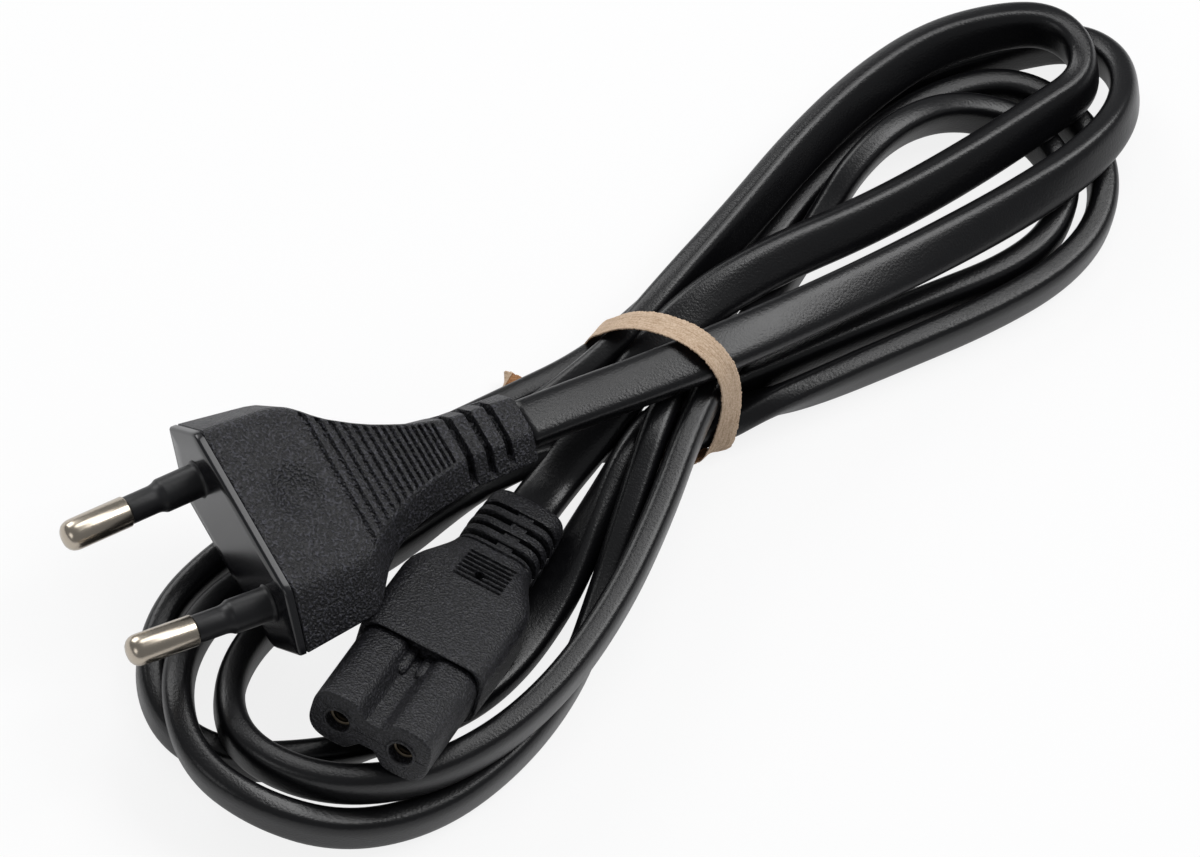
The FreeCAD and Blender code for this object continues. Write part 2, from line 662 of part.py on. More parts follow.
def main():
    os.makedirs("parts", exist_ok=True)
    half_pitch = socket_pitch / 2
    at_connector = connector_placement()
    at_plug = plug_placement()

    insert, insert_envelope = connector_insert()
    crimp_end = contact_front + contact_length + contact_shoulder + crimp_length
    connector_pieces = {}
    for name, side in (("left", -1), ("right", 1)):
        x = side * half_pitch
        run = core_path(x, crimp_end, connector_length - sheath_entry, core_gather)
        connector_pieces["socket_contact_" + name] = connector_contact(x)
        connector_pieces["connector_core_" + name] = bent_wire(run, core_radius)
    inner = list(connector_pieces.values()) + [sheath_stub(connector_length)]
    overmould = grip_panel(connector_overmould(insert_envelope, inner))
    connector_pieces["connector_insert"] = insert
    connector_pieces["connector_overmould"] = overmould
    for name, shape in connector_pieces.items():
        write_node(name, placed(shape, at_connector))

    plug_pieces = {}
    bridge = plug_bridge_plate()
    for name, side in (("left", -1), ("right", 1)):
        at_pin = pin_placement(side)
        pin = placed(plug_pin(), at_pin)
        sleeve = placed(pin_sleeve(), at_pin)
        recess = cylinder(sleeve_thick_radius + sleeve_recess, 2 * sleeve_recess_depth, -sleeve_recess_depth)
        crimp_back = at_pin.multVec(V(0, bridge_depth + pin_crimp_length, 0))
        run = core_path(crimp_back.x, crimp_back.y, plug_length - sheath_entry, plug_core_gather)
        plug_pieces["plug_core_" + name] = bent_wire(run, core_radius).cut(pin)
        plug_pieces["plug_pin_" + name] = pin
        plug_pieces["pin_sleeve_" + name] = sleeve
        bridge = bridge.cut(placed(recess, at_pin)).cut(sleeve).cut(pin)
    inner = list(plug_pieces.values()) + [sheath_stub(plug_length)]
    plug_pieces["plug_overmould"] = plug_overmould(bridge, inner)
    plug_pieces["plug_bridge"] = bridge
    for name, shape in plug_pieces.items():
        write_node(name, placed(shape, at_plug))

    write_node("cord", cord_sheath())
    write_node("paper_tie", paper_tie())


main()
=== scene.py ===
import math
import bmesh
import bpy
import numpy as np
from mathutils import Matrix, Vector
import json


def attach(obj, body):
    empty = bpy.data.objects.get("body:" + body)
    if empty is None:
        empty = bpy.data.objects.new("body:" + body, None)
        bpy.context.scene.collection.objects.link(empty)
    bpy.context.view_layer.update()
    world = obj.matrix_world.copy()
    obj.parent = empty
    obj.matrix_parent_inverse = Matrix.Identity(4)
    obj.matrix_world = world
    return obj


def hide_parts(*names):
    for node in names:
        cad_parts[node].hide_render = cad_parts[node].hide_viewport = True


# A two-pin power lead with a figure eight connector, its flat cord looped up under a paper tie.
# All sizes below are millimetres in the frame of the CAD part, and mm turns them into metres.

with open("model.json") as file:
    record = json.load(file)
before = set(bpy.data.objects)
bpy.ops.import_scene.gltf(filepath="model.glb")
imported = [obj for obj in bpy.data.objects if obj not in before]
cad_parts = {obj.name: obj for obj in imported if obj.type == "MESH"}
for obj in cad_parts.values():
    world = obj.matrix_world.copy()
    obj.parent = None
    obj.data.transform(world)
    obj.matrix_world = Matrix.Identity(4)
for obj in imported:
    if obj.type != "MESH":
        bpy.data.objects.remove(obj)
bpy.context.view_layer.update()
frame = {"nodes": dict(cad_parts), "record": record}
mm = 0.001
floorHeight = -17.1
weldDistance = 0.002      # points nearer than this are joined

print("stage: camera")
cameraSetup = {
    "target": (1.197, 61.717, floorHeight),
    "distance": 900.0,
    "azimuth": 17.5,      # degrees that the view turns about the vertical
    "elevation": 60.2,
    "roll": 11.8,
    "lens": 212.2,
    "sensor": 36.0,
}


def makeCamera(setup):
    # right and up of the picture from the azimuth and elevation, then turned by the roll
    turn, rise, roll = (math.radians(setup[k]) for k in ("azimuth", "elevation", "roll"))
    right = Vector((math.cos(turn), math.sin(turn), 0))
    toCamera = Vector((math.sin(turn) * math.cos(rise), -math.cos(turn) * math.cos(rise), math.sin(rise)))
    up = toCamera.cross(right)
    axisX = right * math.cos(roll) + up * math.sin(roll)
    axisY = up * math.cos(roll) - right * math.sin(roll)
    data = bpy.data.cameras.new("viewCamera")
    data.lens, data.sensor_width = setup["lens"], setup["sensor"]
    data.clip_start, data.clip_end = 0.05, 20.0
    obj = bpy.data.objects.new("viewCamera", data)
    place = (Vector(setup["target"]) + toCamera * setup["distance"]) * mm
    basis = Matrix((axisX, axisY, toCamera)).transposed().to_4x4()
    obj.matrix_world = Matrix.Translation(place) @ basis
    bpy.context.scene.collection.objects.link(obj)
    bpy.context.scene.camera = obj


makeCamera(cameraSetup)

# Where the two ends lie. A placement is (origin, 3x3 axes); local y runs back along each end.
connectorPose = {"origin": (0.0, 0.0, 0.0), "pitch": 16.5, "turn": 0.0, "length": 45.0}
plugPose = {"origin": (-26.95, 14.2, 1.6), "pitch": 3.0, "turn": -33.6, "length": 40.3}


def poseMatrix(pose):
    # axes = turn about z times lean about x, where a positive pitch lifts the front
    turn, pitch = math.radians(pose["turn"]), -math.radians(pose["pitch"])
    c, s = math.cos(turn), math.sin(turn)
    aboutZ = np.array([[c, -s, 0], [s, c, 0], [0, 0, 1.0]])
    c, s = math.cos(pitch), math.sin(pitch)
    aboutX = np.array([[1.0, 0, 0], [0, c, -s], [0, s, c]])
    return aboutZ @ aboutX


def toFrame(points, pose):
    # frame point = axes times local point, plus the origin
    return np.asarray(points, float) @ poseMatrix(pose).T + np.array(pose["origin"])


def linkMesh(name, points, faces, smooth=True, uv=None, sharp=None, tidy=False):
    # points in millimetres, faces as one array of quads or a list of loops
    # sharp is the angle in degrees from which an edge stays crisp; tidy joins twin points
    mesh = bpy.data.meshes.new(name)
    faces = faces.tolist() if isinstance(faces, np.ndarray) else faces
    mesh.from_pydata((np.asarray(points) * mm).tolist(), [], faces)
    mesh.update()
    if tidy:
        form = bmesh.new()
        form.from_mesh(mesh)
        bmesh.ops.remove_doubles(form, verts=form.verts, dist=weldDistance * mm)
        bmesh.ops.recalc_face_normals(form, faces=form.faces)
        form.to_mesh(mesh)
        form.free()
    if smooth:
        mesh.polygons.foreach_set("use_smooth", np.ones(len(mesh.polygons), bool))
    if sharp is not None:
        mesh.set_sharp_from_angle(angle=math.radians(sharp))
    if uv is not None:
        layer = mesh.uv_layers.new(name="surface")
        loops = np.zeros(len(mesh.loops), np.int32)
        mesh.loops.foreach_get("vertex_index", loops)
        layer.data.foreach_set("uv", np.asarray(uv, np.float32)[loops].ravel())
    obj = bpy.data.objects.new(name, mesh)
    bpy.context.scene.collection.objects.link(obj)
    return obj


def gridFaces(rows, columns):
    # quads of a grid whose columns are wrapped round; point (r, c) has the number r x columns + c
    rr, cc = np.meshgrid(np.arange(rows - 1), np.arange(columns), indexing="ij")
    r2, c2 = rr + 1, (cc + 1) % columns
    quads = np.stack([rr * columns + cc, rr * columns + c2, r2 * columns + c2, r2 * columns + cc], -1)
    return quads.reshape(-1, 4)


def cappedFaces(rows, columns):
    # quads of a tube, with one face of many corners on its first row and one on its last
    faces = gridFaces(rows, columns).tolist()
    faces.append(list(range(columns))[::-1])
    faces.append(list(range((rows - 1) * columns, rows * columns)))
    return faces


print("stage: cord")
cordSize = {
    "width": 6.4,
    "thickness": 3.85,
    "squareness": 3.3,    # power of the rounded section: 2 is an ellipse, more is squarer
    "columns": 60,
    "lead": 6.2,
    "samples": 11,        # points of the line for each point of the route
    "leanReach": 8,       # samples over which the lean is evened
    "floorReach": 10,     # the same for the height that the floor asks for
    "length": 1237.7,
}

# The route of the cord: x, y, z and the lean of its width, in degrees from upright.
# 0 stands on edge and 90 lies flat; the sign says to which side the upper edge leans.
routeMiddle = [
    # connector tail, under the tie, long right loop
    (1.9, 57.2, -10.9, -90), (3.2, 66.0, -7.4, -84), (5.1, 75.8, -5.1, -66), (10.3, 87.3, -4.9, -52),
    (18.4, 100.7, -6.3, -44), (25.1, 114.2, -7.2, -38), (30.6, 127.0, -7.4, -32),
    (33.5, 134.3, -7.4, -24), (30.9, 139.2, -7.4, -8), (25.4, 140.6, -7.4, 8), (19.8, 137.0, -7.4, 22),
    (13.3, 129.5, -7.4, 32), (8.9, 118.9, -7.4, 38), (6.0, 106.6, -7.4, 38), (4.1, 92.0, -7.2, 34),
    (1.4, 78.1, -7.2, 16),
    # back under the plug, outer left loop
    (-0.8, 67.6, -8.6, 0), (-5.7, 57.0, -12.4, 0), (-12.2, 43.4, -13.9, 0), (-20.1, 28.5, -13.9, 0),
    (-25.7, 18.4, -13.7, 0), (-27.9, 8.5, -11.3, 6), (-25.6, -2.3, -8.2, 10), (-18.2, -10.5, -7.4, 8),
    (-8.4, -11.4, -8.8, 4), (1.5, -7.0, -12.8, 0), (9.6, 1.5, -13.9, 0), (14.2, 13.3, -13.9, 0),
    (15.5, 26.5, -13.9, 0), (13.2, 39.0, -12.6, 0), (10.9, 50.4, -9.0, 0), (8.6, 62.5, -6.2, -4),
    # third right loop
    (6.7, 79.0, -12.3, 0), (7.6, 92.8, -13.9, 0), (9.1, 105.3, -13.9, 0), (12.1, 117.2, -13.9, 0),
    (17.0, 127.2, -13.9, 0), (24.2, 133.7, -13.9, 0), (33.1, 133.5, -13.9, 0), (40.4, 128.7, -13.9, 0),
    (43.7, 120.6, -13.9, 0), (42.4, 111.3, -13.9, 0), (37.0, 100.8, -13.9, 0), (29.5, 89.7, -13.9, 0),
    (22.0, 78.6, -13.9, -6), (17.5, 73.3, -13.85, -34), (13.3, 68.0, -14.6, -72),
    # low strand, inner left loop
    (6.7, 62.3, -14.8, -90), (-2.6, 55.2, -14.8, -60), (-8.6, 42.6, -13.9, -10),
    (-12.8, 30.6, -13.9, 0), (-18.5, 20.6, -13.9, 0), (-21.4, 10.3, -12.6, 0), (-19.6, -0.1, -9.2, 0),
    (-13.5, -6.1, -7.4, 0), (-3.5, -5.4, -7.4, 0), (5.8, 0.6, -7.4, 0), (12.1, 10.2, -7.4, 0),
    (15.5, 21.7, -7.4, 0), (16.3, 35.4, -7.4, 0), (15.0, 49.5, -7.0, 0), (12.6, 62.8, -6.2, 0),
    # innermost right loop
    (12.0, 77.4, -7.8, 0), (12.2, 90.6, -12.6, 0), (12.5, 100.2, -11.0, 2), (12.8, 108.0, -8.2, 8),
    (15.2, 116.8, -7.9, 10), (20.1, 125.0, -11.2, 4), (28.9, 129.2, -13.9, 0), (37.3, 124.3, -13.9, 0),
    (39.1, 115.6, -13.9, 0),
    (36.2, 107.4, -13.9, 0), (29.5, 98.1, -13.9, 0), (21.9, 87.3, -13.9, 0), (14.6, 76.4, -14.0, 0),
    # low near strand, rear left loop
    (8.9, 67.8, -12.9, 0), (7.0, 57.7, -9.7, 0), (7.3, 47.2, -12.0, -25), (8.0, 35.2, -14.7, -78),
    (6.9, 22.2, -14.7, -88), (2.2, 11.2, -13.9, -50), (-5.3, 1.7, -13.9, 0), (-14.2, -4.7, -13.9, 0),
    (-23.0, -5.7, -13.9, 0), (-29.8, -0.7, -13.9, 0), (-32.7, 8.0, -13.9, 0), (-30.9, 18.0, -13.9, 0),
    (-25.3, 30.6, -13.9, 0), (-17.9, 43.6, -13.9, 0), (-10.3, 56.1, -13.9, 0), (-3.8, 66.9, -13.9, 0),
    # outer right loop, over the others and down into the plug
    (-0.5, 78.7, -13.9, 0), (3.0, 91.8, -13.9, 0), (5.5, 106.1, -13.9, 0), (8.5, 119.5, -13.9, 0),
    (14.5, 130.2, -13.9, 0), (21.8, 138.3, -13.9, 0), (28.7, 144.3, -13.6, 4), (35.8, 142.4, -11.5, 10),
    (39.8, 134.5, -8.4, 18), (38.7, 124.3, -7.2, 30), (33.5, 112.3, -7.0, 45), (26.4, 98.5, -6.0, 58),
    (19.4, 85.1, -3.8, 68), (12.8, 72.8, -1.4, 78), (6.1, 62.9, -1.2, 86),
]


def straightOut(pose, distance):
    # the point on an end's own axis at its length plus the distance
    return toFrame([(0.0, pose["length"] + distance, 0.0)], pose)[0]


def cordControls():
    # the route, with a straight lead behind each strain relief
    start = [(*straightOut(connectorPose, 0), -90), (*straightOut(connectorPose, cordSize["lead"]), -90)]
    end = [(*straightOut(plugPose, cordSize["lead"]), 90), (*straightOut(plugPose, 0), 90)]
    return np.array(start + routeMiddle + end, float)


def smoothLine(name, points, samples):
    # NURBS line of order 3 with the points as its controls; its own points come from the evaluated curve
    curve = bpy.data.curves.new(name, "CURVE")
    curve.dimensions = "3D"
    spline = curve.splines.new("NURBS")
    spline.points.add(len(points) - 1)
    flat = np.ones((len(points), 4), np.float32)
    flat[:, :3] = np.asarray(points)[:, :3] * mm
    spline.points.foreach_set("co", flat.ravel())
    spline.order_u = 3
    spline.use_endpoint_u = True
    spline.resolution_u = samples
    obj = bpy.data.objects.new(name, curve)
    bpy.context.scene.collection.objects.link(obj)
    mesh = bpy.data.meshes.new_from_object(obj)
    line = np.zeros(len(mesh.vertices) * 3)
    mesh.vertices.foreach_get("co", line)
    bpy.data.objects.remove(obj)
    bpy.data.curves.remove(curve)
    bpy.data.meshes.remove(mesh)
    return line.reshape(-1, 3) / mm


def along(values, count):
    # values at the controls of an order 3 line, spread over its sampled points
    n = len(values)
    own = np.concatenate([[0.0], np.arange(0.5, n - 2.0), [n - 2.0]])
    return np.interp(np.linspace(0, n - 2.0, count), own, values)


def directions(line):
    # unit tangents: the difference of the neighbours over its length
    t = np.gradient(line, axis=0)
    return t / np.linalg.norm(t, axis=1, keepdims=True)


def smoothed(values, reach):
    # running mean over 2 x reach + 1 samples, ends held
    padded = np.concatenate([np.full(reach, values[0]), values, np.full(reach, values[-1])])
    return np.convolve(padded, np.full(2 * reach + 1, 1 / (2 * reach + 1)), "valid")


def flatSection(size):
    # soft rectangle, width on the first axis: (|x| / half width)^n + (|y| / half thickness)^n = 1
    a = np.linspace(0, 2 * math.pi, size["columns"], endpoint=False)
    # more columns at the corners, where the section bends most
    a = a - 0.12 * np.sin(4 * a + math.pi)
    share = 2 / size["squareness"]
    x = np.sign(np.cos(a)) * np.abs(np.cos(a)) ** share * size["width"] / 2
    y = np.sign(np.sin(a)) * np.abs(np.sin(a)) ** share * size["thickness"] / 2
    return np.stack([x, y], 1)


def makeCord():
    # point = line + wide x the section's first axis + thin x its second,
    # where wide = upright x cosine of the lean + side x sine of the lean
    controls = cordControls()
    line = smoothLine("cordLine", controls, cordSize["samples"])
    lean = np.radians(smoothed(along(controls[:, 3], len(line)), cordSize["leanReach"]))
    # the lowest edge of a leaning cord stays on the floor: with q = n / (n - 1), its reach below the
    # middle is the root q of (half width x cosine)^q + (half thickness x sine)^q
    q = cordSize["squareness"] / (cordSize["squareness"] - 1)
    high = np.abs(np.cos(lean)) * cordSize["width"] / 2
    low = np.abs(np.sin(lean)) * cordSize["thickness"] / 2
    reach = (high ** q + low ** q) ** (1 / q)
    line[:, 2] = np.maximum(line[:, 2], smoothed(floorHeight + reach, cordSize["floorReach"]))
    t = directions(line)
    side = np.cross(t, (0, 0, 1.0))
    side /= np.linalg.norm(side, axis=1, keepdims=True)
    upright = np.cross(side, t)
    wide = upright * np.cos(lean)[:, None] + side * np.sin(lean)[:, None]
    thin = np.cross(t, wide)
    section = flatSection(cordSize)
    points = line[:, None, :] + wide[:, None, :] * section[None, :, :1]
    points = points + thin[:, None, :] * section[None, :, 1:]
    rows, columns = points.shape[:2]
    step = np.linalg.norm(np.diff(line, axis=0), axis=1)
    run = np.concatenate([[0], np.cumsum(step)])
    uv = np.stack([np.repeat(run, columns), np.tile(np.arange(columns), rows)], 1)
    obj = linkMesh("cordSheath", points.reshape(-1, 3), cappedFaces(rows, columns), uv=uv * mm)
    print("cord line", round(float(run[-1]), 1), "mm, lowest", round(float(points[..., 2].min()), 2))
    return obj, line


cordObject, cordLine = makeCord()

print("stage: paper tie")
tieSize = {
    "width": 3.2,
    "thickness": 0.2,
    "samples": 20,
    "crossSteps": 25,
    "turnReach": 8,       # samples over which the turn of the width is evened
    "seed": 7,
    "crease": 0.05,
    "creaseBeat": 0.07,   # how fast the creases swell and fade from row to row
    "fray": 0.05,
    "lowest": -17.02,
}
# centre line of the paper strip: from under the hank, over it and back beneath to its crumpled end;
# the fourth value is the way its width points, in degrees from +y towards +x
tiePath = [
    (-1.0, 66.0, -16.9, 9), (-4.4, 68.4, -16.9, 9), (-5.3, 70.0, -13.6, 9), (-4.6, 69.8, -9.2, 9),
    (-3.0, 69.0, -5.6, 9), (-1.0, 69.2, -2.6, 9), (1.8, 69.4, -0.4, 9), (4.8, 69.2, 1.3, 9),
    (8.0, 69.0, 2.2, 9), (11.4, 68.4, 2.0, 9), (13.9, 67.9, 0.2, 12), (15.1, 68.0, -3.4, 18),
    (15.8, 67.6, -7.6, 26), (16.1, 66.8, -11.8, 38), (16.2, 65.7, -14.5, 44), (14.3, 64.5, -16.4, 26),
    (10.4, 62.8, -16.9, 10), (2.0, 58.8, -16.9, 9), (-4.0, 59.8, -16.9, 0), (-8.6, 61.4, -16.7, -10),
    (-10.8, 61.0, -15.8, -25), (-12.3, 60.0, -15.2, -20), (-11.6, 59.6, -13.9, 0),
]


def makeTie():
    # point = line + across x share of the width, with creases along outward and frayed long edges
    line = smoothLine("tieLine", tiePath, tieSize["samples"])
    t = directions(line)
    turn = np.radians(smoothed(along(np.array(tiePath)[:, 3], len(line)), tieSize["turnReach"]))
    across = np.stack([np.sin(turn), np.cos(turn), np.zeros_like(turn)], 1)
    across -= t * (across * t).sum(1, keepdims=True)
    across /= np.linalg.norm(across, axis=1, keepdims=True)
    outward = np.cross(across, t)
    v = np.linspace(-0.5, 0.5, tieSize["crossSteps"])
    face = line[:, None, :] + across[:, None, :] * (v * tieSize["width"])[None, :, None]
    rows, columns = face.shape[:2]
    rng = np.random.default_rng(tieSize["seed"])
    # lengthwise creases: each column of the strip rises or sinks a little, more or less along the way
    column = smoothed(rng.normal(0, 1, columns), 1)
    ripple = column[None, :] * (0.6 + 0.4 * np.sin(np.arange(rows) * tieSize["creaseBeat"]))[:, None]
    lift = outward[:, None, :] * (ripple * tieSize["crease"])[..., None]
    fray = np.zeros((rows, columns))
    for edge in (0, -1):
        fray[:, edge] = rng.normal(0, tieSize["fray"], rows)
    face = face + across[:, None, :] * fray[..., None]
    half = outward[:, None, :] * (tieSize["thickness"] / 2)
    outer, inner = face + lift + half, face + lift - half
    ring = np.concatenate([outer, inner[:, ::-1]], 1)
    # a row that would dip into the table is lifted as a whole
    ring[:, :, 2] += np.maximum(0, tieSize["lowest"] - ring[:, :, 2].min(1))[:, None]
    columns = ring.shape[1]
    u = np.repeat(np.arange(rows), columns) / rows
    # the inner side is told apart by 2 added to its second coordinate
    w = np.tile(np.concatenate([v + 2.0, v[::-1]]), rows)
    return linkMesh("paperTie", ring.reshape(-1, 3), cappedFaces(rows, columns), uv=np.stack([u, w], 1))


tieObject = makeTie()

print("stage: mouldings")


def softKnots(knots, reach):
    # value along the length: straight between (y, value) knots, then a running mean over reach millimetres
    knots, step = np.array(knots, float), 0.05
    fine = np.arange(knots[0, 0], knots[-1, 0] + step, step)
    values = smoothed(np.interp(fine, knots[:, 0], knots[:, 1]), int(reach / (2 * step)))
    return lambda y: np.interp(y, fine, values)


def roundedRings(corners, easing, bend, shares):
    # each corner v is cut from a to c, easing along both sides, and bridged by
    # (1-s)(1-s) a + 2 s (1-s) v + s s c; shares are the places of the points on the straights between
    corners = np.asarray(corners, float)
    before, after = np.roll(corners, 1, axis=1) - corners, np.roll(corners, -1, axis=1) - corners
    easing = np.broadcast_to(easing, corners.shape[:2])[..., None]
    start = corners + before / np.linalg.norm(before, axis=2, keepdims=True) * easing
    end = corners + after / np.linalg.norm(after, axis=2, keepdims=True) * easing
    s = np.linspace(0, 1, bend)[None, :, None]
    pieces = []
    for k in range(corners.shape[1]):
        a, v, c = start[:, k, None], corners[:, k, None], end[:, k, None]
        pieces.append((1 - s) ** 2 * a + 2 * s * (1 - s) * v + s ** 2 * c)
        following = start[:, (k + 1) % corners.shape[1], None]
        pieces.append(c + (following - c) * np.asarray(shares[k])[None, :, None])
    return np.concatenate(pieces, axis=1)


def even(count):
    # shares of a straight with count points between its ends
    return np.linspace(0, 1, count + 2)[1:-1]


def stations(spans, extra=()):
    # rows along the length: (first, last, step) spans and single extra places
    rows = [np.arange(first, last, step) for first, last, step in spans]
    return np.unique(np.round(np.concatenate(rows + [np.array(extra, float)]), 4))


def smoothStep(x):
    # 0 below 0 and 1 above 1, and three times the square less twice the cube between
    x = np.clip(x, 0, 1)
    return x * x * (3 - 2 * x)


def insideAny(y, spans):
    # true for each y that lies inside one of the spans
    return np.array([any(first < v < last for first, last in spans) for v in y])


def slotSpans(first, pitch, count, width):
    # slot i reaches half a width to both sides of first + i x pitch
    middles = first + pitch * np.arange(count)
    return [(float(m - width / 2), float(m + width / 2)) for m in middles]


def slotRows(spans, lip):
    # two rows on each wall of a slot, and one a lip away for its eased edge
    rows = []
    for first, last in spans:
        rows += [first - lip, first, first + 0.002, last - 0.002, last, last + lip]
    return rows


def closedShell(name, rings, y, pose, sharp=38):
    # rings (rows, columns, 2) at y, with both ends closed by one face each
    rows, columns = rings.shape[:2]
    points = np.stack([rings[..., 0], np.broadcast_to(y, rings.shape[:2]), rings[..., 1]], -1)
    place = toFrame(points.reshape(-1, 3), pose)
    return linkMesh(name, place, cappedFaces(rows, columns), sharp=sharp, tidy=True)


plugSize = {
    # (y, half width at the parting edge), (y, half width of the flat top), (y, half thickness)
    "edge": [(0, 17.65), (1.2, 17.65), (10.0, 16.5), (11.4, 16.15), (12.5, 15.5), (13.5, 14.4),
             (14.6, 12.9), (16.0, 11.1), (17.4, 9.85), (18.8, 8.9), (20.5, 8.0), (22.5, 7.2),
             (24.5, 6.65), (26.5, 6.3), (29.5, 5.9), (31.0, 5.6), (40.3, 5.3)],
    "top": [(0, 12.2), (9.5, 12.0), (11.5, 11.7), (12.8, 11.1), (13.8, 10.3), (15.0, 9.2),
            (16.5, 8.1), (18.0, 7.3), (19.5, 6.5), (21.5, 5.6), (23.5, 4.9), (26.0, 4.1),
            (29.0, 3.4), (31.0, 3.0), (40.3, 2.7)],
    "half": [(0, 6.85), (4.0, 6.85), (9.0, 6.6), (14.2, 6.15), (20.0, 5.15), (26.0, 4.2),
             (31.0, 3.7), (40.3, 3.1)],
    "dimple": {"y": 8.0, "reachX": 4.7, "reachY": 4.2, "depth": 1.35},
    "ribs": {"first": 13.3, "count": 15, "least": 0.74, "more": 0.9, "fade": 5.5, "depth": 0.6,
             "margin": 0.25},
    "slots": {"first": 31.0, "pitch": 2.8, "count": 3, "width": 1.05, "web": 0.6, "core": 0.62},
}


def plugSection(y, scale=1.0, topPoints=96):
    # six corners: parting edges at mid height, flats above and below
    w, t, h = (softKnots(plugSize[k], 0.6)(y) for k in ("edge", "top", "half"))
    zero = np.zeros_like(w)
    corners = np.stack([np.stack(p, -1) for p in (
        (w, zero), (t, h), (-t, h), (-w, zero), (-t, -h), (t, -h))], 1) * np.asarray(scale)[..., None, None]
    easing = np.stack([zero + 0.25, 0.3 + t * 0.06, 0.3 + t * 0.06] * 2, -1)
    shares = (even(6), even(topPoints), even(6), even(6), even(30), even(6))
    return roundedRings(corners, easing, 6, shares)


def ribPlaces(ribs):
    # first groove, then steps of least + more exp(-i / fade)
    steps = ribs["least"] + ribs["more"] * np.exp(-np.arange(ribs["count"]) / ribs["fade"])
    return ribs["first"] + np.concatenate([[0], np.cumsum(steps)])


def ribDepth(y, ribs):
    # 1 in the floor of a groove, 0 on a rib: a steep front wall, a floor, a slower rear wall
    places = ribPlaces(ribs)
    own = np.clip(np.searchsorted(places, y, side="right") - 1, 0, ribs["count"] - 1)
    share = (y - places[own]) / np.diff(places)[own]
    profile = np.interp(share, [0, 0.14, 0.34, 0.56, 1.0], [0, 1, 0.85, 0, 0])
    return np.where((y < places[0]) | (y > places[-1]), 0, profile)


def makePlugBody():
    # half height less the dimple's bowl, depth x (1 - distance squared) squared, and the ribs' grooves;
    # inside a slot everything above the web shrinks to a core
    ribs, dimple, slots = plugSize["ribs"], plugSize["dimple"], plugSize["slots"]
    spans = slotSpans(slots["first"], slots["pitch"], slots["count"], slots["width"])
    places = ribPlaces(ribs)
    y = stations([(1.2, 13.0, 0.25), (13.0, places[-1] + 0.2, 0.075), (29.0, 40.0, 0.3)],
                 [1.2, 1.26, 1.4, 40.0, 40.2, 40.3] + slotRows(spans, 0.14))
    y = y[~((y > 29.2) & insideAny(y, [(a + 0.01, b - 0.01) for a, b in spans]))]
    scale = np.interp(y, [1.2, 1.4, 39.8, 40.1, 40.3], [0.985, 1, 1, 0.985, 0.93])
    lips = np.isin(np.round(y, 3), np.round([v for span in spans for v in span], 3))
    ring = plugSection(y, scale * np.where(lips, 0.985, 1.0))
    across, x, z = np.sign(ring[..., 1]), ring[..., 0], ring[..., 1]
    flat = softKnots(plugSize["top"], 0.6)(y)[:, None] - ribs["margin"] - np.abs(x)
    away = np.hypot(x / dimple["reachX"], (y[:, None] - dimple["y"]) / dimple["reachY"])
    bowl = dimple["depth"] * (1 - np.clip(away, 0, 1) ** 2) ** 2
    groove = ribs["depth"] * ribDepth(y, ribs)[:, None] * smoothStep(flat / 0.3)
    onTop = smoothStep((np.abs(z) - 0.6 * np.abs(z).max(1)[:, None]) / 0.3)
    ring[..., 1] -= across * (np.where(away < 1, bowl, 0) + groove) * onTop
    cut = insideAny(y, spans)[:, None] & (np.abs(ring[..., 1]) > slots["web"])
    ring = np.where(cut[..., None], ring * slots["core"], ring)
    ring = np.concatenate([ring, ring[-1:] * 0.55])
    return closedShell("plugBody", ring, np.append(y, 40.3)[:, None], plugPose)


def makePlugPlate():
    # polished front plate with eased edges and a thin parting line behind it
    y = np.array([1.2, 1.12, 1.04, 0.4, 0.22, 0.08, 0.0, 0.0, 0.0, 0.0])
    scale = np.array([0.98, 0.985, 1.0, 1.0, 0.996, 0.986, 0.97, 0.8, 0.5, 0.15])
    ring = plugSection(y * 0 + 0.6, scale, 30)
    return closedShell("plugPlate", ring, y[:, None], plugPose)


plugBody = makePlugBody()
plugPlate = makePlugPlate()


def revolved(name, profile, base, direction, pose, segments=64, sharp=38):
    # (distance, radius) pairs turned about an axis; a radius of 0 closes an end
    profile = np.array(profile, float)
    axis = np.array(direction, float) / np.linalg.norm(direction)
    side = np.cross(axis, (0, 0, 1.0))
    side /= np.linalg.norm(side)
    other = np.cross(side, axis)
    a = np.linspace(0, 2 * math.pi, segments, endpoint=False)
    around = np.cos(a)[:, None] * side + np.sin(a)[:, None] * other
    points = np.array(base) + profile[:, :1, None] * axis + profile[:, 1:, None] * around[None]
    faces = gridFaces(len(profile), segments)
    return linkMesh(name, toFrame(points.reshape(-1, 3), pose), faces, sharp=sharp, tidy=True)


pinSize = {
    "baseX": 9.5,
    "tipX": 8.7,
    "length": 19.0,
    # (distance from the face, radius)
    "sleeve": [(-0.4, 2.5), (0.05, 2.5), (0.14, 2.42), (0.25, 2.28), (0.5, 2.21), (5.0, 2.2),
               (5.2, 2.16), (5.45, 2.02), (5.8, 1.88), (6.2, 1.81), (6.5, 1.8), (9.7, 1.8),
               (9.93, 1.77), (10.0, 1.68), (10.0, 1.4), (-0.4, 1.4)],
    "metal": [(9.6, 1.5), (9.98, 1.5), (10.0, 1.82), (10.08, 1.94), (10.2, 2.0), (17.2, 2.0),
              (17.7, 1.96), (18.15, 1.82), (18.5, 1.58), (18.78, 1.2), (18.94, 0.7), (19.0, 0.25),
              (19.0, 0.0)],
}


def makePins():
    # a pin's axis runs from its base to its tip, which leans inwards
    pieces = []
    for label, side in (("Left", -1), ("Right", 1)):
        base = (side * pinSize["baseX"], 0, 0)
        way = (side * (pinSize["tipX"] - pinSize["baseX"]), -pinSize["length"], 0)
        pieces.append(revolved("pin" + label, pinSize["metal"], base, way, plugPose))
        pieces.append(revolved("sleeve" + label, pinSize["sleeve"], base, way, plugPose))
    return pieces


